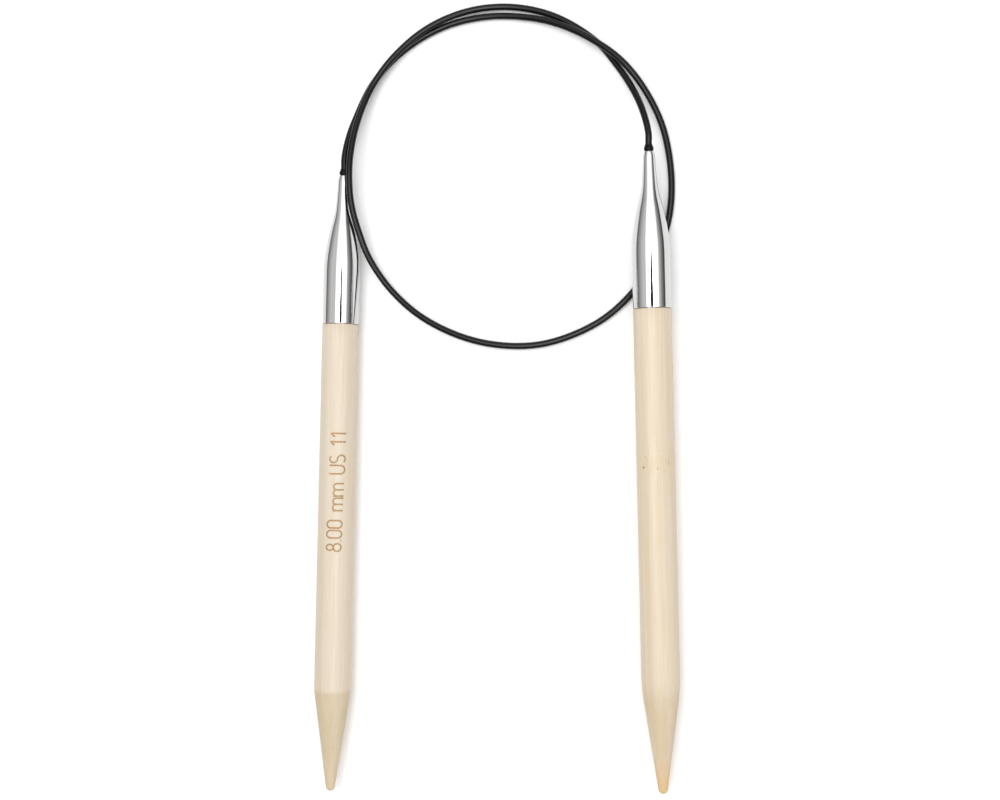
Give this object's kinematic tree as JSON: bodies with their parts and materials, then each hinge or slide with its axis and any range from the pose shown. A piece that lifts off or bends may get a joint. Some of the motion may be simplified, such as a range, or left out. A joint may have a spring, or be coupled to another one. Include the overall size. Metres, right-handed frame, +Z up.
{
  "type": "circular knitting needle",
  "caption": "Circular knitting needle: bamboo tips in slim metal ferrules, joined by a black swivelling cord that lies in a loop.",
  "frame": {"origin": "the middle of the two needles' footprint, on the plane they lie on", "axes": "+Y from the needles' points towards the loop of cord, +X to the right needle, +Z up"},
  "size_m": [0.0792, 0.1719, 0.0095],
  "materials": {
    "bamboo": "waxed pale bamboo, satin, with fine lengthwise fibres",
    "polished_nickel": "mirror-polished nickel plating with faint handling marks",
    "crimp_steel": "turned steel",
    "collar_plastic": "moulded black nylon",
    "cord_nylon": "satin black nylon monofilament"
  },
  "bodies": {
    "left_cord_end": {"cord": "cord_nylon", "left_cord_collar": "collar_plastic", "left_cord_end_sleeve": "crimp_steel"},
    "right_cord_end": {"right_cord_collar": "collar_plastic", "right_cord_end_sleeve": "crimp_steel"},
    "left_needle": {"left_ferrule": "polished_nickel", "left_bamboo_tip": "bamboo"},
    "right_needle": {"right_ferrule": "polished_nickel", "right_bamboo_tip": "bamboo"}
  },
  "joints": [
    {"name": "left_swivel", "type": "hinge", "parent": "left_cord_end", "child": "left_needle", "pos_m": [-0.03345, 0.066, 0.00398], "axis": [-0.0188, -0.9998, 0], "continuous": true},
    {"name": "right_swivel", "type": "hinge", "parent": "right_cord_end", "child": "right_needle", "pos_m": [0.0338, 0.0679, 0.00592], "axis": [0.0169, -0.9997, -0.0173], "continuous": true},
    {"name": "cord_flex", "type": "hinge", "parent": "left_cord_end", "child": "right_cord_end", "pos_m": [0.002, 0.077, 0.00075], "axis": [0, 0, 1], "range_deg": [-10, 15], "stiffness_Nm_per_rad": 0.0009, "deforming": ["cord"]}
  ]
}
